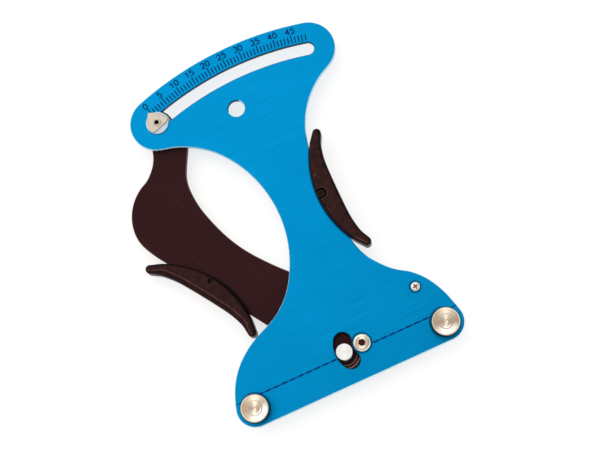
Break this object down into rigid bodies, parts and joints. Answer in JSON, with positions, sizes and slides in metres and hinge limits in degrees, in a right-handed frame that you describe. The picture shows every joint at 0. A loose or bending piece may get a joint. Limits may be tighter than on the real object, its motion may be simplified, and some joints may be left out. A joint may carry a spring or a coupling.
{
  "type": "spoke tension meter",
  "caption": "Plate-type spoke tension gauge: two fixed posts and a sprung lever with a moving pin, squeezed by two side grips, its pointer read on a curved scale slot.",
  "frame": {"origin": "on the axis of a clamped spoke, midway between the two fixed posts", "axes": "+X along the spoke, +Y up to the scale, +Z out of the front face; the tool lies on its back on the pivot nut and the grips"},
  "size_m": [0.17, 0.2328, 0.0221],
  "materials": {
    "blue_anodised": "brushed, blue anodised, navy engraving",
    "brown_anodised": "satin, dark brown anodised",
    "grip_plastic": "moulded, soft gloss, near black",
    "turned_steel": "turned rings, bright",
    "pointer_steel": "stamped, satin",
    "zinc_steel": "zinc plated",
    "black_screw": "black oxide",
    "brass_bush": "turned bronze",
    "glide_plastic": "pale, smooth",
    "spring_steel": "drawn wire"
  },
  "bodies": {
    "frame": {"front_plate": "blue_anodised", "fixed_post_left": "turned_steel", "fixed_post_right": "turned_steel", "post_washer_left": "zinc_steel", "post_washer_right": "zinc_steel", "post_screw_left": "zinc_steel", "post_screw_right": "zinc_steel", "pivot_bolt": "turned_steel", "pivot_washer": "zinc_steel", "pivot_nut": "zinc_steel", "grip_right": "grip_plastic", "grip_screw_right": "black_screw", "spring_anchor_post": "turned_steel", "spring_anchor_screw": "zinc_steel", "return_spring": "spring_steel"},
    "lever": {"lever_plate": "brown_anodised", "pivot_bush": "brass_bush", "moving_pin": "turned_steel", "moving_pin_washer": "zinc_steel", "moving_pin_screw": "zinc_steel", "grip_left": "grip_plastic", "grip_screw_left": "black_screw", "spring_stud": "turned_steel", "pointer": "pointer_steel", "pointer_washer": "glide_plastic", "pointer_bush": "glide_plastic", "pointer_glide": "glide_plastic", "pointer_rivet": "pointer_steel"}
  },
  "joints": [
    {"name": "squeeze", "type": "hinge", "parent": "frame", "child": "lever", "pos_m": [0.012, 0.0026, -0.0097], "axis": [0, 0, 1], "range_deg": [-32.4, 0], "stiffness_Nm_per_rad": 1.42, "springref_deg": 16.04, "deforming": ["return_spring"]}
  ]
}
